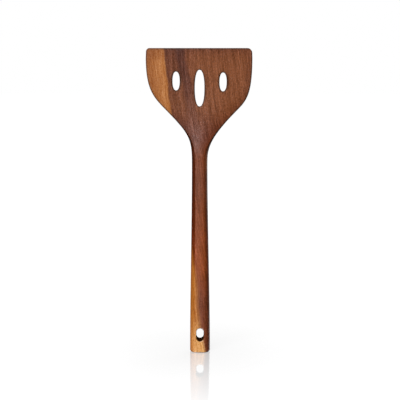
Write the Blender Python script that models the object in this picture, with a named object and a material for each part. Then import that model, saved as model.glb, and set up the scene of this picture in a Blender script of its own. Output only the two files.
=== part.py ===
"""Slotted wooden spatula, carved from one board.

A wide flat blade with three drain slots runs through sloping shoulders and a
narrow neck into a long handle with a hang hole near its butt. The back is one
flat plane. The front is slightly crowned from side to side, and one long hollow
thins it from the full depth of the handle to the thin edge of the blade.
The handle is a round bar planed down at the front and the back, so that a crisp
arris runs along each side of its front facet and dies out in the shoulders.

Units are metres. +Z runs from the butt to the working edge, the front faces -Y,
and the origin is the middle of the butt.
"""

import math

import bmesh
import bpy

# Heights: the handle is measured from the butt, the head down from the working edge
LENGTH = 0.305
WIDEST_DROP = 0.010
SHOULDER_DROP = 0.064
NECK_DROP = 0.111

# Widths across the outline at those stations
BLADE_WIDTH = 0.1041
SHOULDER_WIDTH = 0.0622
NECK_WIDTH = 0.0154
BUTT_WIDTH = 0.0202

# The outline is cut by hand, so each station lies a little to one side of the axis
BLADE_SHIFT = -0.0009
SHOULDER_SHIFT = 0.0016
NECK_SHIFT = -0.0003

# Lean of the shoulders from the axis, where they are straightest
SHOULDER_LEAN = math.radians(44)

# How long each side keeps its direction at a station, as a share of the height to the next
LEFT_PULL = {"butt": 0.31, "neck_down": 0.31, "neck_up": 0.46,
             "shoulder_down": 0.58, "shoulder_up": 0.38, "widest": 0.62}
RIGHT_PULL = {"butt": 0.31, "neck_down": 0.31, "neck_up": 0.27,
              "shoulder_down": 0.72, "shoulder_up": 0.31, "widest": 0.72}

# Depths from the middle of the front face to the flat back
HANDLE_DEPTH = 0.0140
EDGE_DEPTH = 0.0026

# The long hollow that thins the handle to the working edge: where it starts, and how far
# beyond that it is steepest
HOLLOW_START_DROP = 0.114
HOLLOW_STEEPEST = 0.025

# The front is crowned: it falls by this share of half the width from its middle line to
# the sides of the handle, and less and less on the blade
FRONT_CROWN = 0.105
CROWN_END_DROP = 0.035

# Rounded sides: how far they reach in from the outline to the faces. On the handle they
# leave the faces at an arris, which is softened over a share of the rounding. Where the
# wood is thin they take up to a share of its depth
BUTT_BAND = 0.0049
NECK_BAND = 0.0035
BLADE_BAND = 0.0011
HANDLE_ARRIS = math.radians(30)
ARRIS_SOFTNESS = 0.07
FULLEST_SIDE = 0.48

# Rounding of the two ends and of the blade's two corners
BUTT_END_ROUND = 0.0020
WORKING_EDGE_ROUND = 0.0009
LEFT_CORNER_ROUND = 0.0033
RIGHT_CORNER_ROUND = 0.0044
CORNER_DRAW_IN = 0.0004

# Rims of the openings take up to this share of the wood's depth
DEEPEST_RIM = 0.35

# Drain slots: upright ellipses with slightly full ends, the outer two alike
MIDDLE_SLOT_WIDTH = 0.0095
MIDDLE_SLOT_HEIGHT = 0.0356
MIDDLE_SLOT_DROP = 0.0388
SIDE_SLOT_WIDTH = 0.0071
SIDE_SLOT_HEIGHT = 0.0182
SIDE_SLOT_DROP = 0.0323
SLOT_SPACING = 0.0230
SLOT_SHIFT = -0.0004
SIDE_SLOT_SKEW = 0.0009
SLOT_RIM_ROUND = 0.0009
SLOT_FULLNESS = 2.25

# Hang hole: upright, with round ends
HANG_HOLE_WIDTH = 0.0074
HANG_HOLE_HEIGHT = 0.0134
HANG_HOLE_RISE = 0.0189
HANG_RIM_ROUND = 0.0010

# Fineness of the mesh
HANDLE_ROW_PITCH = 0.0080
HEAD_ROW_PITCH = 0.0026
END_STEPS = 4
ARRIS_STEPS = 1
SIDE_STEPS = 4
FACE_COLUMNS = 6
SLOT_POINTS = 52
HANG_POINTS = 40
RIM_STEPS = 3
RIM_SWEEP = math.radians(66)
CUTTER_PROUD = 0.0005
THINNEST_FILLET = 0.0001
SMALLEST_ROW_GAP = 0.00001
CURVE_HALVINGS = 40
SMOOTH_ANGLE = math.radians(40)

WOOD_COLOR = (0.19, 0.055, 0.018, 1.0)
WOOD_ROUGHNESS = 0.45

NECK_HEIGHT = LENGTH - NECK_DROP
SHOULDER_HEIGHT = LENGTH - SHOULDER_DROP
WIDEST_HEIGHT = LENGTH - WIDEST_DROP
BACK = HANDLE_DEPTH / 2


def blend(low, high, share):
    return low + (high - low) * share


def ease(value, start, end):
    """0 below start, 1 above end, and a smooth rise between."""
    share = min(max((value - start) / (end - start), 0.0), 1.0)
    return share * share * (3 - 2 * share)


def end_inset(radius, distance):
    """How far a rounded end draws in at a distance from its tip."""
    if distance >= radius:
        return 0.0
    return radius - math.sqrt(radius**2 - (radius - distance) ** 2)


def side_curves(side, pull):
    """One side of the outline, as three Bezier curves of (x, z) from butt to widest point."""
    butt = (side * BUTT_WIDTH / 2, 0.0)
    neck = (side * NECK_WIDTH / 2 + NECK_SHIFT, NECK_HEIGHT)
    shoulder = (side * SHOULDER_WIDTH / 2 + SHOULDER_SHIFT, SHOULDER_HEIGHT)
    widest = (side * BLADE_WIDTH / 2 + BLADE_SHIFT, WIDEST_HEIGHT)
    upright = (0.0, 1.0)
    leaning = (side * math.sin(SHOULDER_LEAN), math.cos(SHOULDER_LEAN))

    def curve(low, low_way, low_pull, high, high_way, high_pull):
        rise = high[1] - low[1]
        first = [low[i] + low_way[i] * pull[low_pull] * rise for i in (0, 1)]
        second = [high[i] - high_way[i] * pull[high_pull] * rise for i in (0, 1)]
        return low, first, second, high

    return [
        curve(butt, upright, "butt", neck, upright, "neck_down"),
        curve(neck, upright, "neck_up", shoulder, leaning, "shoulder_down"),
        curve(shoulder, leaning, "shoulder_up", widest, upright, "widest"),
    ]


def bezier(points, share, axis):
    rest = 1 - share
    weights = (rest**3, 3 * rest**2 * share, 3 * rest * share**2, share**3)
    return sum(weight * point[axis] for weight, point in zip(weights, points))


def side_x(curves, height):
    """Where a side of the outline is at a height: its curve's share is found by halving."""
    if height >= WIDEST_HEIGHT:
        return curves[-1][-1][0]
    points = next(curve for curve in curves if height <= curve[-1][1])
    low, high = 0.0, 1.0
    for _ in range(CURVE_HALVINGS):
        middle = (low + high) / 2
        if bezier(points, middle, 1) < height:
            low = middle
        else:
            high = middle
    return bezier(points, low, 0)


LEFT_CURVES = side_curves(-1, LEFT_PULL)
RIGHT_CURVES = side_curves(1, RIGHT_PULL)


def hollowed(drop):
    """Share of the thinning done, at a drop from the working edge: none to about all."""
    ways = max(HOLLOW_START_DROP - drop, 0.0) / HOLLOW_STEEPEST
    return 1 - (1 + ways) * math.exp(-ways)


def depth_at(height):
    """Thickness along the middle: the handle, then the hollow that eases out to the edge."""
    thinning = hollowed(LENGTH - height) / hollowed(0.0)
    return blend(HANDLE_DEPTH, EDGE_DEPTH, thinning)


def crown_at(x, height):
    """How far the crowned front falls behind its middle line."""
    left = side_x(LEFT_CURVES, height)
    right = side_x(RIGHT_CURVES, height)
    flattening = 1 - ease(height, NECK_HEIGHT, LENGTH - CROWN_END_DROP)
    return FRONT_CROWN * flattening * (x - (left + right) / 2) ** 2 / ((right - left) / 2)


def front_at(x, height):
    return BACK - depth_at(height) + crown_at(x, height)


def rounding_at(height):
    """Rounded side at a height: reach in from the outline, drop from the face, arris angle."""
    handle = blend(BUTT_BAND, NECK_BAND, min(height / NECK_HEIGHT, 1.0))
    thinning = ease(height, NECK_HEIGHT, SHOULDER_HEIGHT)
    reach = blend(handle, BLADE_BAND, thinning)
    drop = blend(HANDLE_DEPTH / 2, BLADE_BAND, thinning)
    return reach, drop, blend(HANDLE_ARRIS, 0.0, thinning)


def corner_points(reach, drop, arris):
    """(in from the outline, in from the face) along a rounded side, from face to outline.

    It is an elliptical arc that leaves the face at the arris angle and ends upright,
    and a small curve between its first stretch and the face softens the arris.
    """
    wide = reach / (1 - math.sin(arris))
    deep = drop / math.cos(arris)

    def arc(angle):
        return wide * (1 - math.sin(angle)), drop - deep * math.cos(angle)

    soft_angle = blend(arris, math.pi / 2, ARRIS_SOFTNESS)
    soft_end = arc(soft_angle)
    soft_length = math.hypot(reach - soft_end[0], soft_end[1])
    points = []
    for step in range(ARRIS_STEPS):
        share = step / ARRIS_STEPS
        inward = blend(reach + soft_length, reach, share)
        points.append((blend(inward, blend(reach, soft_end[0], share), share),
                       soft_end[1] * share**2))
    for step in range(SIDE_STEPS + 1):
        points.append(arc(blend(soft_angle, math.pi / 2, step / SIDE_STEPS)))
    return points


def face_points(start, end, height, inset):
    """Points across the crowned front, between the two ends of its rounded sides."""
    shares = [i / FACE_COLUMNS for i in range(1, FACE_COLUMNS)]
    across = [blend(start, end, share) for share in shares]
    return [(x, front_at(x, height) + inset) for x in across]


def section(height):
    """Points round the wood at a height, counterclockwise seen from above."""
    to_top = LENGTH - height
    inset = end_inset(BUTT_END_ROUND, height) + end_inset(WORKING_EDGE_ROUND, to_top)
    draw_in = CORNER_DRAW_IN * max(height - WIDEST_HEIGHT, 0.0) / WIDEST_DROP
    left_inset = max(inset, end_inset(LEFT_CORNER_ROUND, to_top)) + draw_in
    right_inset = max(inset, end_inset(RIGHT_CORNER_ROUND, to_top)) + draw_in
    left = side_x(LEFT_CURVES, height) + left_inset
    right = side_x(RIGHT_CURVES, height) - right_inset
    back = BACK - inset
    reach, drop, arris = rounding_at(height)
    reach = min(max(reach - inset, THINNEST_FILLET), FULLEST_SIDE * (right - left) / 2)
    front_left = front_at(left + reach, height) + inset
    front_right = front_at(right - reach, height) + inset
    thinnest = back - max(front_left, front_right)
    drop = min(max(drop - inset, THINNEST_FILLET), FULLEST_SIDE * thinnest)
    corner = corner_points(reach, drop, arris)
    face_reach = corner[0][0]
    ring = [(right - x, back - y) for x, y in reversed(corner)]
    ring += [(left + x, back - y) for x, y in corner]
    ring += [(left + x, front_left + y) for x, y in reversed(corner)]
    ring += face_points(left + face_reach, right - face_reach, height, inset)
    ring += [(right - x, front_right + y) for x, y in corner]
    return [(x, y, height) for x, y in ring]


def even_heights(low, high, pitch):
    count = max(1, math.ceil((high - low) / pitch))
    return [blend(low, high, i / count) for i in range(count)]


def row_heights():
    """Heights of the sections: close together round both ends and on the head."""
    quarter = [math.pi / 2 * i / END_STEPS for i in range(END_STEPS)]
    butt = [BUTT_END_ROUND * (1 - math.cos(angle)) for angle in quarter]
    corner = max(LEFT_CORNER_ROUND, RIGHT_CORNER_ROUND, WORKING_EDGE_ROUND)
    handle = even_heights(BUTT_END_ROUND, NECK_HEIGHT, HANDLE_ROW_PITCH)
    head = even_heights(NECK_HEIGHT, LENGTH - corner, HEAD_ROW_PITCH)
    corners = [LENGTH - corner * (1 - math.sin(angle)) for angle in quarter]
    edge = [LENGTH - WORKING_EDGE_ROUND * (1 - math.sin(angle)) for angle in quarter]
    heights = butt + handle + head + sorted(corners + edge) + [LENGTH]
    pairs = zip(heights, heights[1:])
    return [low for low, high in pairs if high - low > SMALLEST_ROW_GAP] + [LENGTH]


def loft(name, rings, collection):
    """Closed body through rings of equal length, with a face across each end."""
    mesh = bpy.data.meshes.new(name)
    bm = bmesh.new()
    rows = [[bm.verts.new(point) for point in ring] for ring in rings]
    for low, high in zip(rows, rows[1:]):
        for i in range(len(low)):
            j = (i + 1) % len(low)
            bm.faces.new((low[i], low[j], high[j], high[i]))
    bm.faces.new(reversed(rows[0]))
    bm.faces.new(rows[-1])
    bmesh.ops.recalc_face_normals(bm, faces=bm.faces)
    bm.to_mesh(mesh)
    bm.free()
    obj = bpy.data.objects.new(name, mesh)
    collection.objects.link(obj)
    return obj


def slot_point(width, height, grow, turn):
    """Ellipse whose ends are a little fuller than a true one's."""
    power = 2 / SLOT_FULLNESS
    across = math.cos(2 * math.pi * turn)
    up = math.sin(2 * math.pi * turn)
    x = (width / 2 + grow) * math.copysign(abs(across) ** power, across)
    z = (height / 2 + grow) * math.copysign(abs(up) ** power, up)
    return x, z


def stadium_point(width, height, grow, turn):
    """Round ends on straight sides: half the points on each end."""
    end = 1 if turn < 0.5 else -1
    angle = 2 * math.pi * turn
    radius = width / 2 + grow
    return radius * math.cos(angle), radius * math.sin(angle) + end * (height - width) / 2


def rim_profile(radius):
    """(growth, depth) of a rounded rim, from clear of the face to the straight wall."""
    arc = []
    for step in range(RIM_STEPS + 1):
        angle = RIM_SWEEP * step / RIM_STEPS
        arc.append((radius * (1 - math.cos(angle)), radius * (1 - math.sin(angle))))
    grow, depth = arc[-1]
    rise = depth + CUTTER_PROUD
    arc.append((grow + rise * math.tan(RIM_SWEEP), -CUTTER_PROUD))
    return arc[::-1]


def opening_cutter(name, point_at, count, size, centre, rim, collection):
    """Cutter through the wood from front to back, flared so that both rims come out round."""
    width, height = size
    x, z = centre
    wood = min(depth_at(z - height / 2), depth_at(z + height / 2))
    profile = rim_profile(min(rim, DEEPEST_RIM * wood))
    rings = []
    for from_back in (False, True):
        for grow, depth in reversed(profile) if from_back else profile:
            ring = []
            for i in range(count):
                across, up = point_at(width, height, grow, (i + 0.5) / count)
                front = front_at(x + across, z + up)
                face = BACK - depth if from_back else front + depth
                ring.append((x + across, face, z + up))
            rings.append(ring)
    cutter = loft(name, rings, collection)
    cutter.display_type = "WIRE"
    cutter.hide_render = True
    return cutter


def opening_cutters(collection):
    slot_height = LENGTH - SIDE_SLOT_DROP
    side_size = (SIDE_SLOT_WIDTH, SIDE_SLOT_HEIGHT)
    middle_size = (MIDDLE_SLOT_WIDTH, MIDDLE_SLOT_HEIGHT)
    middle = (SLOT_SHIFT, LENGTH - MIDDLE_SLOT_DROP)
    left = (SLOT_SHIFT - SLOT_SPACING, slot_height + SIDE_SLOT_SKEW / 2)
    right = (SLOT_SHIFT + SLOT_SPACING, slot_height - SIDE_SLOT_SKEW / 2)
    slots = {
        "left_slot": (side_size, left),
        "middle_slot": (middle_size, middle),
        "right_slot": (side_size, right),
    }
    cutters = [
        opening_cutter(name, slot_point, SLOT_POINTS, size, centre, SLOT_RIM_ROUND, collection)
        for name, (size, centre) in slots.items()
    ]
    hang_size = (HANG_HOLE_WIDTH, HANG_HOLE_HEIGHT)
    hang_centre = (0.0, HANG_HOLE_RISE)
    cutters.append(opening_cutter("hang_hole", stadium_point, HANG_POINTS, hang_size,
                                  hang_centre, HANG_RIM_ROUND, collection))
    return cutters


def wood_material():
    material = bpy.data.materials.new("oiled_wood")
    material.use_nodes = True
    shader = material.node_tree.nodes["Principled BSDF"]
    shader.inputs["Base Color"].default_value = WOOD_COLOR
    shader.inputs["Roughness"].default_value = WOOD_ROUGHNESS
    shader.inputs["Metallic"].default_value = 0.0
    return material


def clear_scene():
    for obj in list(bpy.data.objects):
        bpy.data.objects.remove(obj, do_unlink=True)


def new_collection(name):
    collection = bpy.data.collections.new(name)
    bpy.context.scene.collection.children.link(collection)
    return collection


def build_spatula():
    parts = new_collection("slotted_wooden_spatula")
    cutters = new_collection("cutters")
    spatula = loft("spatula", [section(height) for height in row_heights()], parts)
    spatula.data.materials.append(wood_material())
    spatula.data.shade_smooth()
    spatula.data.set_sharp_from_angle(angle=SMOOTH_ANGLE)
    for cutter in opening_cutters(cutters):
        cut = spatula.modifiers.new(cutter.name, "BOOLEAN")
        cut.operation = "DIFFERENCE"
        cut.solver = "EXACT"
        cut.object = cutter


clear_scene()
build_spatula()
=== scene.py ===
"""Looks of the slotted wooden spatula: fine surface, oiled wood, floor, light and camera.

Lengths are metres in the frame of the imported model: +Z runs from the butt to the
working edge, the front faces -Y, and the origin is the middle of the butt.
"""

import math
from functools import reduce

import bmesh
import bpy
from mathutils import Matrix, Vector


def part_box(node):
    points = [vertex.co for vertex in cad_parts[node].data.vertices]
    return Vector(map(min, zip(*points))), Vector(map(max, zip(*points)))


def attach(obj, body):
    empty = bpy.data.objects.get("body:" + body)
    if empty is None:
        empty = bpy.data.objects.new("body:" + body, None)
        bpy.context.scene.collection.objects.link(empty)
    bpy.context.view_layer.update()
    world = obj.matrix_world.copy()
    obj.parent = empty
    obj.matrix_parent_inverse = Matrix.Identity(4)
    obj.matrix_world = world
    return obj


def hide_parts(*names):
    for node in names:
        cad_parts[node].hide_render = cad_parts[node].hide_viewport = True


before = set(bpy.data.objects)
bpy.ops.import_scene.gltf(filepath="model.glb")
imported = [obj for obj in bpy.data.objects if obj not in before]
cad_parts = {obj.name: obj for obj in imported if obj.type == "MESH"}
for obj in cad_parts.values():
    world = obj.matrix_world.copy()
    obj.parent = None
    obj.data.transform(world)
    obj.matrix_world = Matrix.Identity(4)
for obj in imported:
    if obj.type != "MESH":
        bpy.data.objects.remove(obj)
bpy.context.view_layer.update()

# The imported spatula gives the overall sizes
LOW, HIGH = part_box("spatula")
LENGTH = HIGH.z
BACK = HIGH.y
HANDLE_DEPTH = HIGH.y - LOW.y
BLADE_WIDTH = HIGH.x - LOW.x
BLADE_SHIFT = (HIGH.x + LOW.x) / 2

# Stations of the outline, measured down from the working edge
WIDEST_DROP = 0.010
SHOULDER_DROP = 0.064
NECK_DROP = 0.111
SHOULDER_WIDTH = 0.0622
NECK_WIDTH = 0.0154
BUTT_WIDTH = 0.0202
SHOULDER_SHIFT = 0.0016
NECK_SHIFT = -0.0003
SHOULDER_LEAN = math.radians(44)
# How far the outline's curves pull from their ends, as shares of their rise
LEFT_PULL = {"butt": 0.31, "neck_down": 0.31, "neck_up": 0.46,
             "shoulder_down": 0.58, "shoulder_up": 0.38, "widest": 0.62}
RIGHT_PULL = {"butt": 0.31, "neck_down": 0.31, "neck_up": 0.27,
              "shoulder_down": 0.72, "shoulder_up": 0.31, "widest": 0.72}

# Thickness at the working edge, and the long hollow that thins the handle to it
EDGE_DEPTH = 0.0026
HOLLOW_START_DROP = 0.114
HOLLOW_STEEPEST = 0.025

# The front is crowned: on the handle it falls by this share of half the width
FRONT_CROWN = 0.105
CROWN_END_DROP = 0.035

# Rounded sides and the arris along the front facet
BUTT_BAND = 0.0049
NECK_BAND = 0.0035
BLADE_BAND = 0.0011
HANDLE_ARRIS = math.radians(30)
ARRIS_SOFTNESS = 0.07
FULLEST_SIDE = 0.48
BUTT_END_ROUND = 0.0020
WORKING_EDGE_ROUND = 0.0009
LEFT_CORNER_ROUND = 0.0033
RIGHT_CORNER_ROUND = 0.0044
CORNER_DRAW_IN = 0.0004
THINNEST_FILLET = 0.0001

# Openings: (width, height), centre (x, z) and rim. A rim takes at most FULLEST_RIM of the
# wood's thickness, and the slots' ends are fuller than an ellipse's, whose power is 2
SLOT_RIM = 0.0009
SLOT_FULLNESS = 2.25
HANG_RIM = 0.0010
FULLEST_RIM = 0.35
OPENINGS = {
    "left_slot": ((0.0071, 0.0182), (-0.0234, LENGTH - 0.03185), SLOT_RIM),
    "middle_slot": ((0.0095, 0.0356), (-0.0004, LENGTH - 0.0388), SLOT_RIM),
    "right_slot": ((0.0071, 0.0182), (0.0226, LENGTH - 0.03275), SLOT_RIM),
    "hang_hole": ((0.0074, 0.0134), (0.0, 0.0189), HANG_RIM),
}

# Fineness of the surface, and of the search for the outline
HANDLE_ROW_PITCH = 0.0025
HEAD_ROW_PITCH = 0.0012
END_STEPS = 9
ARRIS_STEPS = 4
SIDE_STEPS = 9
FACE_COLUMNS = 30
OPENING_POINTS = 120
RIM_STEPS = 7
RIM_SWEEP = math.radians(66)
CUTTER_PROUD = 0.0005
SMALLEST_ROW_GAP = 0.00001
HALVINGS = 40

NECK_HEIGHT = LENGTH - NECK_DROP
SHOULDER_HEIGHT = LENGTH - SHOULDER_DROP
WIDEST_HEIGHT = LENGTH - WIDEST_DROP


def blend(low, high, share):
    return low + (high - low) * share


def ease(value, start, end):
    """0 below start, 1 above end, and a smooth rise between."""
    share = min(max((value - start) / (end - start), 0.0), 1.0)
    return share * share * (3 - 2 * share)


def end_inset(radius, distance):
    """How far a rounded end draws in at a distance from its tip."""
    if distance >= radius:
        return 0.0
    return radius - math.sqrt(radius**2 - (radius - distance) ** 2)


def side_curves(side, pull):
    """One side of the outline, as three Bezier curves of (x, z) from butt to widest point."""
    butt = (side * BUTT_WIDTH / 2, 0.0)
    neck = (side * NECK_WIDTH / 2 + NECK_SHIFT, NECK_HEIGHT)
    shoulder = (side * SHOULDER_WIDTH / 2 + SHOULDER_SHIFT, SHOULDER_HEIGHT)
    widest = (side * BLADE_WIDTH / 2 + BLADE_SHIFT, WIDEST_HEIGHT)
    upright = (0.0, 1.0)
    leaning = (side * math.sin(SHOULDER_LEAN), math.cos(SHOULDER_LEAN))

    def curve(low, low_way, low_pull, high, high_way, high_pull):
        rise = high[1] - low[1]
        first = [low[i] + low_way[i] * pull[low_pull] * rise for i in (0, 1)]
        second = [high[i] - high_way[i] * pull[high_pull] * rise for i in (0, 1)]
        return low, first, second, high

    return [
        curve(butt, upright, "butt", neck, upright, "neck_down"),
        curve(neck, upright, "neck_up", shoulder, leaning, "shoulder_down"),
        curve(shoulder, leaning, "shoulder_up", widest, upright, "widest"),
    ]


def bezier(points, share, axis):
    rest = 1 - share
    weights = (rest**3, 3 * rest**2 * share, 3 * rest * share**2, share**3)
    return sum(weight * point[axis] for weight, point in zip(weights, points))


def side_x(curves, height):
    """Where a side of the outline is at a height: its curve's share is found by halving."""
    if height >= WIDEST_HEIGHT:
        return curves[-1][-1][0]
    points = next(curve for curve in curves if height <= curve[-1][1])
    low, high = 0.0, 1.0
    for _ in range(HALVINGS):
        middle = (low + high) / 2
        if bezier(points, middle, 1) < height:
            low = middle
        else:
            high = middle
    return bezier(points, low, 0)


LEFT_CURVES = side_curves(-1, LEFT_PULL)
RIGHT_CURVES = side_curves(1, RIGHT_PULL)


def hollowed(drop):
    """Share of the thinning done, at a drop from the working edge: none to about all."""
    ways = max(HOLLOW_START_DROP - drop, 0.0) / HOLLOW_STEEPEST
    return 1 - (1 + ways) * math.exp(-ways)


def depth_at(height):
    """Thickness along the middle: the handle, then the hollow that eases out to the edge."""
    thinning = hollowed(LENGTH - height) / hollowed(0.0)
    return blend(HANDLE_DEPTH, EDGE_DEPTH, thinning)


def crown_at(x, height):
    """How far the crowned front falls behind its middle line."""
    left = side_x(LEFT_CURVES, height)
    right = side_x(RIGHT_CURVES, height)
    flattening = 1 - ease(height, NECK_HEIGHT, LENGTH - CROWN_END_DROP)
    return FRONT_CROWN * flattening * (x - (left + right) / 2) ** 2 / ((right - left) / 2)


def front_at(x, height):
    return BACK - depth_at(height) + crown_at(x, height)


def rounding_at(height):
    """Rounded side at a height: reach in from the outline, drop from the face, arris angle."""
    handle = blend(BUTT_BAND, NECK_BAND, min(height / NECK_HEIGHT, 1.0))
    thinning = ease(height, NECK_HEIGHT, SHOULDER_HEIGHT)
    reach = blend(handle, BLADE_BAND, thinning)
    drop = blend(HANDLE_DEPTH / 2, BLADE_BAND, thinning)
    return reach, drop, blend(HANDLE_ARRIS, 0.0, thinning)


def corner_points(reach, drop, arris):
    """(in from the outline, in from the face) along a rounded side, from face to outline."""
    wide = reach / (1 - math.sin(arris))
    deep = drop / math.cos(arris)

    def arc(angle):
        return wide * (1 - math.sin(angle)), drop - deep * math.cos(angle)

    soft_angle = blend(arris, math.pi / 2, ARRIS_SOFTNESS)
    soft_end = arc(soft_angle)
    soft_length = math.hypot(reach - soft_end[0], soft_end[1])
    points = []
    for step in range(ARRIS_STEPS):
        share = step / ARRIS_STEPS
        inward = blend(reach + soft_length, reach, share)
        points.append((blend(inward, blend(reach, soft_end[0], share), share),
                       soft_end[1] * share**2))
    for step in range(SIDE_STEPS + 1):
        points.append(arc(blend(soft_angle, math.pi / 2, step / SIDE_STEPS)))
    return points


def between(start, end):
    return [blend(start, end, i / FACE_COLUMNS) for i in range(1, FACE_COLUMNS)]


def section(height):
    """Points round the wood at a height, counterclockwise seen from above."""
    to_top = LENGTH - height
    inset = end_inset(BUTT_END_ROUND, height) + end_inset(WORKING_EDGE_ROUND, to_top)
    draw_in = CORNER_DRAW_IN * max(height - WIDEST_HEIGHT, 0.0) / WIDEST_DROP
    left_inset = max(inset, end_inset(LEFT_CORNER_ROUND, to_top)) + draw_in
    right_inset = max(inset, end_inset(RIGHT_CORNER_ROUND, to_top)) + draw_in
    left = side_x(LEFT_CURVES, height) + left_inset
    right = side_x(RIGHT_CURVES, height) - right_inset
    back = BACK - inset
    reach, drop, arris = rounding_at(height)
    reach = min(max(reach - inset, THINNEST_FILLET), FULLEST_SIDE * (right - left) / 2)
    front_left = front_at(left + reach, height) + inset
    front_right = front_at(right - reach, height) + inset
    thinnest = back - max(front_left, front_right)
    drop = min(max(drop - inset, THINNEST_FILLET), FULLEST_SIDE * thinnest)
    corner = corner_points(reach, drop, arris)
    ring = [(right - x, back - y) for x, y in reversed(corner)]
    ring += [(x, back) for x in between(ring[-1][0], left + corner[0][0])]
    ring += [(left + x, back - y) for x, y in corner]
    ring += [(left + x, front_left + y) for x, y in reversed(corner)]
    ring += [(x, front_at(x, height) + inset)
             for x in between(ring[-1][0], right - corner[0][0])]
    ring += [(right - x, front_right + y) for x, y in corner]
    return [(x, y, height) for x, y in ring]


def even_heights(low, high, pitch):
    count = max(1, math.ceil((high - low) / pitch))
    return [blend(low, high, i / count) for i in range(count)]


def row_heights():
    """Heights of the sections: close together round both ends and on the head."""
    quarter = [math.pi / 2 * i / END_STEPS for i in range(END_STEPS)]
    butt = [BUTT_END_ROUND * (1 - math.cos(angle)) for angle in quarter]
    corner = max(LEFT_CORNER_ROUND, RIGHT_CORNER_ROUND, WORKING_EDGE_ROUND)
    handle = even_heights(BUTT_END_ROUND, NECK_HEIGHT, HANDLE_ROW_PITCH)
    head = even_heights(NECK_HEIGHT, LENGTH - corner, HEAD_ROW_PITCH)
    corners = [LENGTH - corner * (1 - math.sin(angle)) for angle in quarter]
    edge = [LENGTH - WORKING_EDGE_ROUND * (1 - math.sin(angle)) for angle in quarter]
    heights = butt + handle + head + sorted(corners + edge) + [LENGTH]
    pairs = zip(heights, heights[1:])
    return [low for low, high in pairs if high - low > SMALLEST_ROW_GAP] + [LENGTH]


def loft(name, rings):
    """Closed body through rings of equal length, with a face across each end."""
    mesh = bpy.data.meshes.new(name)
    bm = bmesh.new()
    rows = [[bm.verts.new(point) for point in ring] for ring in rings]
    for low, high in zip(rows, rows[1:]):
        for i in range(len(low)):
            j = (i + 1) % len(low)
            bm.faces.new((low[i], low[j], high[j], high[i]))
    bm.faces.new(reversed(rows[0]))
    bm.faces.new(rows[-1])
    bmesh.ops.recalc_face_normals(bm, faces=bm.faces)
    bm.to_mesh(mesh)
    bm.free()
    obj = bpy.data.objects.new(name, mesh)
    bpy.context.scene.collection.objects.link(obj)
    return obj


def slot_point(width, height, grow, turn):
    """Ellipse whose ends are a little fuller than a true one's."""
    power = 2 / SLOT_FULLNESS
    cosine = math.cos(2 * math.pi * turn)
    sine = math.sin(2 * math.pi * turn)
    x = (width / 2 + grow) * math.copysign(abs(cosine) ** power, cosine)
    z = (height / 2 + grow) * math.copysign(abs(sine) ** power, sine)
    return x, z


def stadium_point(width, height, grow, turn):
    """Round ends on straight sides: half the points on each end."""
    end = 1 if turn < 0.5 else -1
    angle = 2 * math.pi * turn
    radius = width / 2 + grow
    return radius * math.cos(angle), radius * math.sin(angle) + end * (height - width) / 2


def rim_profile(radius):
    """(growth, depth) of a rounded rim, from clear of the face to the straight wall."""
    arc = []
    for step in range(RIM_STEPS + 1):
        angle = RIM_SWEEP * step / RIM_STEPS
        arc.append((radius * (1 - math.cos(angle)), radius * (1 - math.sin(angle))))
    grow, depth = arc[-1]
    rise = depth + CUTTER_PROUD
    arc.append((grow + rise * math.tan(RIM_SWEEP), -CUTTER_PROUD))
    return arc[::-1]


def opening_cutter(name, size, centre, rim):
    """Cutter through the wood from front to back, flared so that both rims come out round."""
    width, height = size
    x, z = centre
    point_at = stadium_point if name == "hang_hole" else slot_point
    wood = min(depth_at(z - height / 2), depth_at(z + height / 2))
    profile = rim_profile(min(rim, FULLEST_RIM * wood))
    rings = []
    for from_back in (False, True):
        for grow, depth in reversed(profile) if from_back else profile:
            ring = []
            for i in range(OPENING_POINTS):
                side, up = point_at(width, height, grow, (i + 0.5) / OPENING_POINTS)
                face = BACK - depth if from_back else front_at(x + side, z + up) + depth
                ring.append((x + side, face, z + up))
            rings.append(ring)
    return loft(name, rings)


def carve_spatula():
    """Fine surface of the spatula, with its openings cut and its faces shaded smoothly."""
    spatula = loft("spatula_wood", [section(height) for height in row_heights()])
    cutters = [opening_cutter(name, *sizes) for name, sizes in OPENINGS.items()]
    for cutter in cutters:
        cut = spatula.modifiers.new(cutter.name, "BOOLEAN")
        cut.operation = "DIFFERENCE"
        cut.solver = "EXACT"
        cut.object = cutter
    graph = bpy.context.evaluated_depsgraph_get()
    mesh = bpy.data.meshes.new_from_object(spatula.evaluated_get(graph))
    spatula.modifiers.clear()
    spatula.data = mesh
    for cutter in cutters:
        bpy.data.objects.remove(cutter, do_unlink=True)
    mesh.shade_smooth()
    weigh = spatula.modifiers.new("flat_faces", "WEIGHTED_NORMAL")
    weigh.keep_sharp = False
    return spatula


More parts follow.
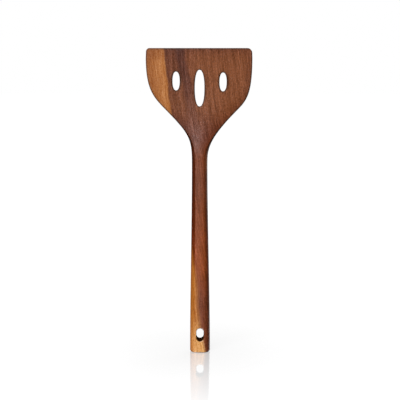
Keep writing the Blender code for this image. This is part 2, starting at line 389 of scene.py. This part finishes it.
class Nodes:
    """Short calls for wiring one node tree."""

    # The sockets of a mix node that take and give colours
    FIRST_COLOUR = 6
    SECOND_COLOUR = 7
    MIXED_COLOUR = 2

    def __init__(self, tree):
        self.tree = tree
        tree.nodes.clear()

    def add(self, kind, inputs=None, **settings):
        node = self.tree.nodes.new(kind)
        for name, value in settings.items():
            setattr(node, name, value)
        for name, value in (inputs or {}).items():
            self.feed(value, node.inputs[name])
        return node

    def feed(self, value, socket):
        if isinstance(value, bpy.types.NodeSocket):
            self.tree.links.new(value, socket)
        else:
            socket.default_value = value

    def math(self, operation, first, second=0.0, third=0.0):
        inputs = {0: first, 1: second, 2: third}
        return self.add("ShaderNodeMath", inputs, operation=operation).outputs[0]

    def chained(self, operation, values):
        return reduce(lambda first, second: self.math(operation, first, second), values)

    def sum(self, *values):
        return self.chained("ADD", values)

    def product(self, *values):
        return self.chained("MULTIPLY", values)

    def largest(self, *values):
        return self.chained("MAXIMUM", values)

    def minus(self, first, second):
        return self.math("SUBTRACT", first, second)

    def over(self, first, second):
        return self.math("DIVIDE", first, second)

    def size(self, value):
        return self.math("ABSOLUTE", value)

    def scaled(self, value, low, high, to_low=0.0, to_high=1.0, smooth=True):
        """A ramp: value from low to high becomes to_low to to_high, and stays there beyond."""
        kind = "SMOOTHSTEP" if smooth else "LINEAR"
        inputs = {"Value": value, "From Min": low, "From Max": high,
                  "To Min": to_low, "To Max": to_high}
        node = self.add("ShaderNodeMapRange", inputs, interpolation_type=kind)
        return node.outputs["Result"]

    def zone(self, places, ramps):
        """Product of smooth ramps, each a place's name and then the ends that scaled takes."""
        return self.product(*(self.scaled(places[name], *ends) for name, *ends in ramps))

    def mixed(self, share, first, second, blend_type="MIX"):
        node = self.add("ShaderNodeMix", data_type="RGBA", blend_type=blend_type)
        self.feed(share, node.inputs["Factor"])
        self.feed(first, node.inputs[self.FIRST_COLOUR])
        self.feed(second, node.inputs[self.SECOND_COLOUR])
        return node.outputs[self.MIXED_COLOUR]

    def noise(self, vector, detail=2.0):
        inputs = {"Vector": vector, "Scale": 1.0, "Detail": detail}
        return self.add("ShaderNodeTexNoise", inputs).outputs["Fac"]

    def curve(self, value, points):
        """A smooth curve over value through points, all from 0 to 1 and left to right."""
        node = self.add("ShaderNodeFloatCurve", {"Value": value})
        bends = node.mapping.curves[0].points
        bends[0].location = points[0]
        bends[1].location = points[-1]
        for point in points[1:-1]:
            bends.new(*point)
        for bend in bends:
            bend.handle_type = "AUTO_CLAMPED"
        node.mapping.update()
        return node.outputs[0]

    def vector(self, x, y, z):
        return self.add("ShaderNodeCombineXYZ", {"X": x, "Y": y, "Z": z}).outputs[0]

    def parts(self, vector):
        return self.add("ShaderNodeSeparateXYZ", {"Vector": vector}).outputs

    def colour(self, red, green, blue):
        inputs = {"Red": red, "Green": green, "Blue": blue}
        return self.add("ShaderNodeCombineColor", inputs).outputs[0]

    def grey(self, value):
        return self.colour(value, value, value)


# Where the golden sapwood meets the heartwood at the working edge, how the line leans to
# the right on its way down, how it waves, and how it wanders, WANDER_RATE times in a metre
BOUNDARY_X = -0.0344
GRAIN_LEAN = 0.129
WAVE_HEIGHT = 0.0011
WAVE_LENGTH = 0.110
WANDER = 0.0005
WANDER_RATE = 55.0
WANDER_DETAIL = 3.0
WANDER_LEVELS = (0.3, 0.7)
# Heights, and how far the line stands to the right of that there
LINE_SHIFTS = ((0.0, 0.0016), (0.030, 0.0008), (0.045, 0.0005), (0.073, 0.0011),
               (0.103, -0.0002), (0.160, 0.0), (0.270, 0.0), (0.288, -0.0012),
               (LENGTH, -0.0012))
# Round the left side of the lower handle it stands further to the right
ROUND_SIDE_SHIFT = (("y", -0.0068, -0.0030, 0.0, 0.0037),
                    ("z", 0.138, 0.090),
                    ("x", 0.002, -0.004))
# How far to either side of the line the two woods run into each other
LINE_SOFTNESS = (("z", 0.27, 0.08, 0.0010, 0.0032),
                 ("z", 0.005, 0.025, 0.6, 1.0))

# Linear colours of the wood
HEART_BLADE = (0.185, 0.048, 0.0075, 1)
HEART_NECK = (0.122, 0.024, 0.0050, 1)
HEART_GRIP = (0.198, 0.042, 0.0065, 1)
HEART_HANDLE = (0.315, 0.063, 0.0065, 1)
HEART_BUTT = (0.170, 0.034, 0.0050, 1)
SAP_BLADE = (0.420, 0.150, 0.033, 1)
SAP_HANDLE = (0.480, 0.158, 0.020, 1)
SAP_BUTT = (0.740, 0.360, 0.110, 1)
# The colour that darkened end grain, edges and openings' walls go towards; in the openings it is
# painted shade
DARKENED_WOOD = (0.026, 0.009, 0.0025, 1)
PORE_SHADE = (0.35, 0.30, 0.30, 1)

# Where the wood is deeper in tone, red, green and blue fall by these powers of the tone
DEEPENING = (1.0, 1.5, 2.4)

# Streaks of the grain: width and length of their cells, and how far the tone swings. The
# cells are STREAK_DEPTH times as deep as wide. Levels are where most of the noise lies
STREAKS = {
    "broad": (0.0058, 0.140, 0.16),
    "medium": (0.0013, 0.060, 0.20),
    "short": (0.0008, 0.014, 0.29),
    "speckle": (0.0006, 0.0014, 0.38),
}
STREAK_DEPTH = 3
STREAK_LEVELS = (0.25, 0.75)
FIGURE_SIZE = (0.024, 0.060)
FIGURE_SWAY = 0.0008
FIGURE_LEVELS = (0.2, 0.8)
PORE_SIZE = (0.0002, 0.0024)
PORE_LEVELS = (0.60, 0.72)
PORE_STRENGTH = 0.5


def along(wood, z, stations):
    """A value that changes with the height, from pairs of a height and the value there."""
    lowest = min(value for _, value in stations)
    span = max(value for _, value in stations) - lowest
    points = [(height / LENGTH, (value - lowest) / span) for height, value in stations]
    level = wood.curve(wood.over(z, LENGTH), points)
    return wood.math("MULTIPLY_ADD", level, span, lowest)


def from_sapwood_line(wood, places):
    """Distance to the right of the line between the sapwood and the heartwood."""
    z = places["z"]
    drop = wood.minus(LENGTH, z)
    wave = wood.math("COSINE", wood.product(drop, 2 * math.pi / WAVE_LENGTH))
    wave = wood.minus(wood.product(wave, WAVE_HEIGHT), WAVE_HEIGHT)
    lean = wood.math("MULTIPLY_ADD", drop, GRAIN_LEAN, wave)
    wander = wood.noise(wood.vector(0.0, 0.0, wood.product(z, WANDER_RATE)), WANDER_DETAIL)
    wander = wood.scaled(wander, *WANDER_LEVELS, -WANDER, WANDER)
    line = wood.sum(lean, wander, along(wood, z, LINE_SHIFTS),
                    wood.zone(places, ROUND_SIDE_SHIFT))
    return wood.minus(wood.minus(places["x"], line), BOUNDARY_X)


def grain_place(wood, places):
    """Place across, through and along the grain, whose streaks sway from side to side."""
    width, length = FIGURE_SIZE
    sway = wood.noise(wood.vector(wood.over(places["x"], width), 0.0,
                                  wood.over(places["z"], length)))
    sway = wood.scaled(sway, *FIGURE_LEVELS, -FIGURE_SWAY, FIGURE_SWAY, False)
    return wood.sum(places["from_line"], sway), places["y"], places["z"]


def streak(wood, grain, width, length, detail=1.0):
    """Noise drawn out along the grain; it changes more slowly through the depth."""
    across, y, z = grain
    stretched = wood.vector(wood.over(across, width),
                            wood.over(y, STREAK_DEPTH * width),
                            wood.over(z, length))
    return wood.noise(stretched, detail)


def grain_tone(wood, grain):
    """Lightness of the wood about 1, from all its streaks together."""
    tones = []
    for width, length, swing in STREAKS.values():
        level = streak(wood, grain, width, length)
        tones.append(wood.scaled(level, *STREAK_LEVELS, 1 - swing, 1 + swing, False))
    return wood.product(*tones)


def deepened(wood, colour, tone):
    change = wood.colour(*(wood.math("POWER", tone, power) for power in DEEPENING))
    return wood.mixed(1.0, colour, change, "MULTIPLY")


# Sapwood: heights from the blade's colour to the handle's, and the pale middle of the butt
SAP_HEIGHTS = (0.19, 0.10)
PALE_BUTT = (("z", 0.045, 0.010),
             ("x", -0.010, -0.003))
# Its lightness on the blade by the distance from the line, and by the height where it comes
# back into the handle and at the working edge
SAP_OUTLINE = (-0.0190, -0.0030, 0.75, 1.0)
SAP_RETURN = (0.130, 0.080, 0.50, 1.0)
SAP_WORKING_EDGE = (0.290, 0.299, 1.0, 0.77)
# The heights where handle gives way to blade, and the power of the streaks' tone
BLADE_START = (0.18, 0.22)
SAP_CONTRAST = 0.6


def sapwood_colour(wood, places, tone):
    """Golden: deeper at the blade's outline and where it returns, paler towards the butt."""
    z = places["z"]
    colour = wood.mixed(wood.scaled(z, *SAP_HEIGHTS), SAP_BLADE, SAP_HANDLE)
    colour = wood.mixed(wood.zone(places, PALE_BUTT), colour, SAP_BUTT)
    on_blade = wood.scaled(z, *BLADE_START)
    outline = wood.largest(wood.scaled(places["from_line"], *SAP_OUTLINE, False),
                           wood.minus(1.0, on_blade))
    returning = wood.largest(wood.scaled(z, *SAP_RETURN), on_blade)
    streaks = wood.math("POWER", tone, SAP_CONTRAST)
    lightness = wood.product(streaks, outline, returning, wood.scaled(z, *SAP_WORKING_EDGE))
    return deepened(wood, colour, lightness)


# Heartwood: the neck's colour gives way to these, between two heights each
HEART_ZONES = (
    (HEART_BLADE, 0.216, 0.255),
    (HEART_GRIP, 0.218, 0.190),
    (HEART_HANDLE, 0.165, 0.085),
    (HEART_BUTT, 0.098, 0.050),
)
# Painted shade: the heartwood's lightness by how far it faces left (-1) or right (1). On the
# right side it changes with the height too, and is painted lighter by the neck
LEFT_SIDE_SHADE = (-0.80, -0.15, 0.48, 1.0)
RIGHT_SIDE_SHADE = (0.58, 0.80)
RIGHT_SHADE_BY_HEIGHT = ((0.0, 0.72), (0.055, 0.76), (0.085, 0.58), (0.115, 0.66), (0.155, 0.88),
               (0.184, 1.10), (0.203, 1.75), (0.225, 1.0), (LENGTH, 1.0))
# Its lightness by the distance from the blade's outline, down to the heights where that
# ends, and at the working edge
HEART_OUTLINE = (0.0, 0.009, 0.80, 1.0)
BELOW_BLADE = (0.252, 0.222)
HEART_WORKING_EDGE = (0.290, 0.299, 1.0, 0.94)
# The dark zone beside the line: its reach from the line and its lightness by height, then
# the place of its darker core, that core's half width, and its strength by height
DARK_REACH = (0.004, 0.038)
DARK_TONE = (0.24, 0.285, 0.93, 0.72)
CORE_PLACE = (0.300, 0.260, 0.0155, 0.0200)
CORE_WIDTH = (0.0070, 0.0020)
CORE_STRENGTH = (0.215, 0.270, 0.0, 0.42)


def painted_side_shade(wood, facing, z):
    """Painted shade of the sides against the front and back, by the way they face."""
    right = wood.scaled(facing, *RIGHT_SIDE_SHADE, 1.0, along(wood, z, RIGHT_SHADE_BY_HEIGHT))
    return wood.product(wood.scaled(facing, *LEFT_SIDE_SHADE), right)


def outline_tone(wood, gap, z):
    """Lightness of the heartwood beside the blade's outline and at its working edge."""
    outline = wood.largest(wood.scaled(gap, *HEART_OUTLINE), wood.scaled(z, *BELOW_BLADE))
    return wood.product(outline, wood.scaled(z, *HEART_WORKING_EDGE))


def dark_zone(wood, from_line, z):
    """Lightness beside the sapwood: the first heartwood is dark, with a darker core."""
    first = wood.scaled(from_line, *DARK_REACH, wood.scaled(z, *DARK_TONE), 1.0)
    off = wood.size(wood.minus(from_line, wood.scaled(z, *CORE_PLACE)))
    core = wood.product(wood.scaled(off, *CORE_WIDTH), wood.scaled(z, *CORE_STRENGTH))
    return wood.product(first, wood.minus(1.0, core))


def heartwood_colour(wood, places, sides, tone):
    """Brown: darkest on the neck, beside the sapwood and at the outline, with painted shade on
    the sides.
    """
    z = places["z"]
    colour = HEART_NECK
    for further, start, full in HEART_ZONES:
        colour = wood.mixed(wood.scaled(z, start, full), colour, further)
    lightness = wood.product(sides, outline_tone(wood, places["gap"], z),
                             dark_zone(wood, places["from_line"], z))
    return wood.mixed(1.0, deepened(wood, colour, lightness), wood.grey(tone), "MULTIPLY")


# How far the dark of an edge reaches over the face, and the share of it beside the edge.
# Round an opening it starts at that reach, where far is 1, and is full on the rim
EDGE_DARK_REACH = 0.0025
EDGE_DARK_SHARE = 0.70
OPENING_FADE = (1.0, 0.5)
OUTLINE_STEPS = 32
# The outline leans most at the shoulder, and is about upright this far from it
SLANT_REACH = 0.045
# Share of the dark by flatness, which is 1 on the faces and 0 on sides and walls
WALL_FLATNESS = (0.60, 0.25)
RIM_FLATNESS = (0.995, 0.80, 0.0, 0.8)
SIDE_FLATNESS = (0.10, 0.60, 0.40, 1.0)
# Share of it by how far the wood faces up, and where it starts on the neck
END_GRAIN_FACING = (0.35, 0.95, 0.0, 0.75)
EDGE_DARK_START = (0.19, 0.22, 0.0, EDGE_DARK_SHARE)


def outline_gap(wood, x, z):
    """Distance over the head's face from its outline or its working edge."""
    height = wood.scaled(z, NECK_HEIGHT, LENGTH, smooth=False)
    slant = wood.scaled(wood.size(wood.minus(z, SHOULDER_HEIGHT)),
                        0.0, SLANT_REACH, math.cos(SHOULDER_LEAN), 1.0)
    gap = wood.minus(LENGTH, z)
    for side, curves in ((-1, LEFT_CURVES), (1, RIGHT_CURVES)):
        shares = [step / OUTLINE_STEPS for step in range(OUTLINE_STEPS + 1)]
        points = [(share, side * side_x(curves, blend(NECK_HEIGHT, LENGTH, share)) / BLADE_WIDTH)
                  for share in shares]
        reach = wood.product(wood.curve(height, points), BLADE_WIDTH)
        inward = wood.minus(reach, wood.product(x, side))
        gap = wood.math("MINIMUM", gap, wood.product(inward, slant))
    return gap


def near_openings(wood, x, z):
    """1 on the walls and rims of the openings, and fading out on the faces round them."""
    nears = []
    for size, centre, _ in OPENINGS.values():
        offs = [wood.over(wood.size(wood.minus(place, middle)), width / 2 + EDGE_DARK_REACH)
                for place, middle, width in zip((x, z), centre, size)]
        far = wood.sum(*(wood.math("POWER", off, SLOT_FULLNESS) for off in offs))
        nears.append(wood.scaled(far, *OPENING_FADE))
    return wood.largest(*nears)


def darkened_edges_and_walls(wood, places, normal):
    """Darkness of end grain, of the head's edges and of the openings' walls, whose dark is
    partly painted shade.
    """
    flatness = wood.size(normal["Y"])
    openings = near_openings(wood, places["x"], places["z"])
    end_grain = wood.scaled(normal["Z"], *END_GRAIN_FACING)
    # The openings' walls go dark: end grain above and below, and painted shade inside the
    # openings
    walls = wood.product(wood.scaled(flatness, *WALL_FLATNESS), openings)
    rims = wood.largest(wood.scaled(places["gap"], EDGE_DARK_REACH, 0.0),
                        wood.scaled(flatness, *RIM_FLATNESS))
    rims = wood.product(rims, wood.scaled(flatness, *SIDE_FLATNESS))
    rim_dark = wood.product(wood.largest(openings, rims),
                         wood.scaled(places["z"], *EDGE_DARK_START))
    return wood.largest(end_grain, walls, rim_dark)


# The finish of the oil: its roughness by the fine streaks, and what pores and the darkened
# edges and walls add to it
FINE_SIZE = (0.0004, 0.009)
FINE_DETAIL = 3.0
ROUGHNESS = (0.2, 0.8, 0.22, 0.30)
PORE_ROUGHNESS = 0.15
EDGE_DARK_ROUGHNESS = 0.30
# Its gloss, and the power of the tone that it follows
GLOSS = 0.5
GLOSS_CONTRAST = 1.4
WOOD_IOR = 1.5
# Heights, and how far the gloss is raised or lowered there: painted sheen, set to where the
# light reflects on the hollow and the handle
SHEEN_BY_HEIGHT = ((0.0, 1.0), (0.150, 1.0), (0.175, 1.35), (0.195, 1.30), (0.212, 0.85),
          (0.226, 0.80), (0.260, 1.0), (LENGTH, 1.0))
# Relief of the surface: the fine streaks' share of a pore's depth, how much of the relief
# shows, and that depth
FINE_RELIEF = 0.4
RELIEF_STRENGTH = 0.25
RELIEF_DEPTH = 0.00005


def gloss_level(wood, z, tone, edge_dark, sides, heart_share):
    """Gloss: a painted loss of sheen on the heartwood's sides and none on the darkest edges and
    walls, and painted sheen by height.
    """
    streaks = wood.math("POWER", tone, GLOSS_CONTRAST)
    left = wood.product(GLOSS, wood.minus(1.0, edge_dark))
    facing = wood.largest(sides, wood.minus(1.0, heart_share))
    return wood.product(streaks, left, wood.math("MINIMUM", facing, 1.0),
                        along(wood, z, SHEEN_BY_HEIGHT))


def wood_material():
    material = bpy.data.materials.new("oiled_wood")
    material.use_nodes = True
    wood = Nodes(material.node_tree)
    surface = wood.add("ShaderNodeTexCoord").outputs
    normal = wood.parts(surface["Normal"])
    x, y, z = wood.parts(surface["Object"])
    places = {"x": x, "y": y, "z": z, "gap": outline_gap(wood, x, z)}
    places["from_line"] = from_sapwood_line(wood, places)
    grain = grain_place(wood, places)
    tone = grain_tone(wood, grain)

    # Painted shade on the heartwood's sides, by the way they face
    sides = painted_side_shade(wood, normal["X"], z)
    softness = wood.zone(places, LINE_SOFTNESS)
    heart_share = wood.scaled(wood.over(places["from_line"], softness), -1.0, 1.0)
    colour = wood.mixed(heart_share, sapwood_colour(wood, places, tone),
                        heartwood_colour(wood, places, sides, tone))

    # Pores are short dark grooves along the grain
    pore = wood.scaled(streak(wood, grain, *PORE_SIZE), *PORE_LEVELS)
    shaded = wood.mixed(1.0, colour, PORE_SHADE, "MULTIPLY")
    colour = wood.mixed(wood.product(pore, PORE_STRENGTH), colour, shaded)

    # Darker end grain, edges and openings' walls, partly painted shade
    edge_dark = darkened_edges_and_walls(wood, places, normal)
    colour = wood.mixed(edge_dark, colour, DARKENED_WOOD)
    fine = streak(wood, grain, *FINE_SIZE, FINE_DETAIL)
    rough = wood.sum(wood.scaled(fine, *ROUGHNESS, False),
                     wood.product(pore, PORE_ROUGHNESS),
                     wood.product(edge_dark, EDGE_DARK_ROUGHNESS))
    height = wood.minus(wood.product(fine, FINE_RELIEF), pore)
    bump = wood.add("ShaderNodeBump", {"Height": height, "Strength": RELIEF_STRENGTH,
                                       "Distance": RELIEF_DEPTH})
    gloss = gloss_level(wood, z, tone, edge_dark, sides, heart_share)
    shader = wood.add("ShaderNodeBsdfPrincipled",
                      {"Base Color": colour, "Roughness": rough, "Normal": bump.outputs[0],
                       "IOR": WOOD_IOR, "Specular IOR Level": gloss})
    wood.add("ShaderNodeOutputMaterial", {"Surface": shader.outputs[0]})
    return material


# The photograph's camera: 0.9 m in front of the origin, about level with the working edge
CAMERA_DISTANCE = 0.900
CAMERA_HEIGHT = 0.300
CAMERA_PITCH = math.radians(9.09)
CAMERA_LENS = 82.55
SENSOR_WIDTH = 36.0
NEAREST_SEEN = 0.05
FARTHEST_SEEN = 50.0


def add_camera():
    data = bpy.data.cameras.new("camera")
    data.lens = CAMERA_LENS
    data.sensor_width = SENSOR_WIDTH
    data.clip_start = NEAREST_SEEN
    data.clip_end = FARTHEST_SEEN
    camera = bpy.data.objects.new("camera", data)
    camera.location = (0.0, -CAMERA_DISTANCE, CAMERA_HEIGHT)
    camera.rotation_euler = (math.pi / 2 - CAMERA_PITCH, 0.0, 0.0)
    bpy.context.scene.collection.objects.link(camera)
    bpy.context.scene.camera = camera


# Softboxes by name: place, width and height, and radiance. They face the spatula's middle
SOFTBOXES = {
    "key": ((-0.62, -1.32, 1.32), (1.4, 1.2), 9.0),
    "back": ((1.10, 1.30, 1.20), (1.6, 1.2), 5.0),
}
SOFTBOX_TARGET = (0.0, 0.0, 0.17)


def add_softbox(name, place, size, radiance):
    """A white rectangle of light; its power is its area times pi times its radiance."""
    data = bpy.data.lights.new(name, "AREA")
    data.shape = "RECTANGLE"
    data.size, data.size_y = size
    data.energy = radiance * math.pi * size[0] * size[1]
    lamp = bpy.data.objects.new(name, data)
    lamp.location = place
    away = Vector(place) - Vector(SOFTBOX_TARGET)
    lamp.rotation_euler = away.to_track_quat("Z", "Y").to_euler()
    lamp.visible_camera = False
    bpy.context.scene.collection.objects.link(lamp)


FLOOR_SIZE = 12.0
FLOOR_GREY = (0.12, 0.12, 0.12, 1)
# The floor's brightness in view, and how much it reflects, by the distance from the foot
FLOOR_BRIGHTNESS = (0.2, 1.2, 0.943, 1.0)
REFLECTION = (0.0, 0.18, 0.50, 0.0)
REFLECTION_ROUGHNESS = 0.06
# A white and a pale part of the floor that only the gloss sees. ahead is 1 in front of the
# foot and -1 behind it, and aside is 1 on its right
FRONT_FLOOR = (("ahead", 0.45, 0.85),
               ("aside", -0.15, 0.25, 1.0, 0.25))
BACK_FLOOR = (("ahead", -0.2, -0.6),
              ("aside", -0.1, 0.3, 0.0, 0.35))


def floor_material():
    """White to the camera, with a soft shadow and a reflection that fades from the foot.

    In the wood's gloss it is white in front, pale at the back right, and dark at the
    sides, as between black cards.
    """
    material = bpy.data.materials.new("white_floor")
    material.use_nodes = True
    floor = Nodes(material.node_tree)
    path = floor.add("ShaderNodeLightPath").outputs
    in_view = floor.largest(path["Is Camera Ray"], path["Is Transmission Ray"])
    place = floor.add("ShaderNodeTexCoord").outputs["Object"]
    away = floor.add("ShaderNodeVectorMath", {0: place}, operation="LENGTH").outputs["Value"]
    x, y, _ = floor.parts(place)
    ways = {"ahead": floor.over(floor.product(y, -1.0), away), "aside": floor.over(x, away)}
    bright = floor.largest(floor.zone(ways, FRONT_FLOOR), floor.zone(ways, BACK_FLOOR))
    strength = floor.sum(floor.product(in_view, floor.scaled(away, *FLOOR_BRIGHTNESS)),
                         floor.product(path["Is Glossy Ray"], bright))
    glow = floor.add("ShaderNodeEmission", {"Strength": strength})
    matt = floor.add("ShaderNodeBsdfDiffuse", {"Color": FLOOR_GREY})
    lit = floor.add("ShaderNodeAddShader", {0: glow.outputs[0], 1: matt.outputs[0]})
    gloss = floor.add("ShaderNodeBsdfGlossy", {"Roughness": REFLECTION_ROUGHNESS})
    polish = floor.scaled(away, *REFLECTION, False)
    surface = floor.add("ShaderNodeMixShader",
                        {"Fac": polish, 1: lit.outputs[0], 2: gloss.outputs[0]})
    floor.add("ShaderNodeOutputMaterial", {"Surface": surface.outputs[0]})
    return material


def add_floor():
    mesh = bpy.data.meshes.new("floor")
    half = FLOOR_SIZE / 2
    corners = [(-half, -half, 0), (half, -half, 0), (half, half, 0), (-half, half, 0)]
    mesh.from_pydata(corners, [], [(0, 1, 2, 3)])
    mesh.materials.append(floor_material())
    floor = bpy.data.objects.new("floor", mesh)
    bpy.context.scene.collection.objects.link(floor)


# The room in the gloss, by direction: white at the front left, fading to the right, towards
# the floor and to the back, and white again above the back
FRONT_ROOM = (("z", 0.0, 0.30, 0.5, 1.0),
              ("x", -0.10, 0.40, 1.0, 0.1),
              ("y", 0.3, -0.1, 0.15, 1.0))
BACK_ROOM = (("y", 0.1, 0.5),
             ("z", 0.10, 0.25))
ROOM_FILL = 0.03
WHITE = (1, 1, 1, 1)


def set_world():
    """White background, a dim room for fill, and white parts of the room in the gloss."""
    world = bpy.data.worlds.new("studio")
    bpy.context.scene.world = world
    world.use_nodes = True
    sky = Nodes(world.node_tree)
    path = sky.add("ShaderNodeLightPath").outputs
    direction = sky.add("ShaderNodeTexCoord").outputs["Generated"]
    ways = dict(zip("xyz", sky.parts(direction)))
    room = sky.largest(sky.zone(ways, FRONT_ROOM), sky.zone(ways, BACK_ROOM))
    level = sky.mixed(path["Is Glossy Ray"], sky.grey(ROOM_FILL), sky.grey(room))
    in_view = sky.largest(path["Is Camera Ray"], path["Is Transmission Ray"])
    level = sky.mixed(in_view, level, WHITE)
    shell = sky.add("ShaderNodeBackground", {"Color": level, "Strength": 1.0})
    sky.add("ShaderNodeOutputWorld", {"Surface": shell.outputs[0]})


spatula = carve_spatula()
spatula.data.materials.append(wood_material())
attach(spatula, "root")
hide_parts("spatula")

add_camera()
add_floor()
set_world()
for name, softbox in SOFTBOXES.items():
    add_softbox(name, *softbox)
bpy.context.scene.view_settings.view_transform = "Standard"
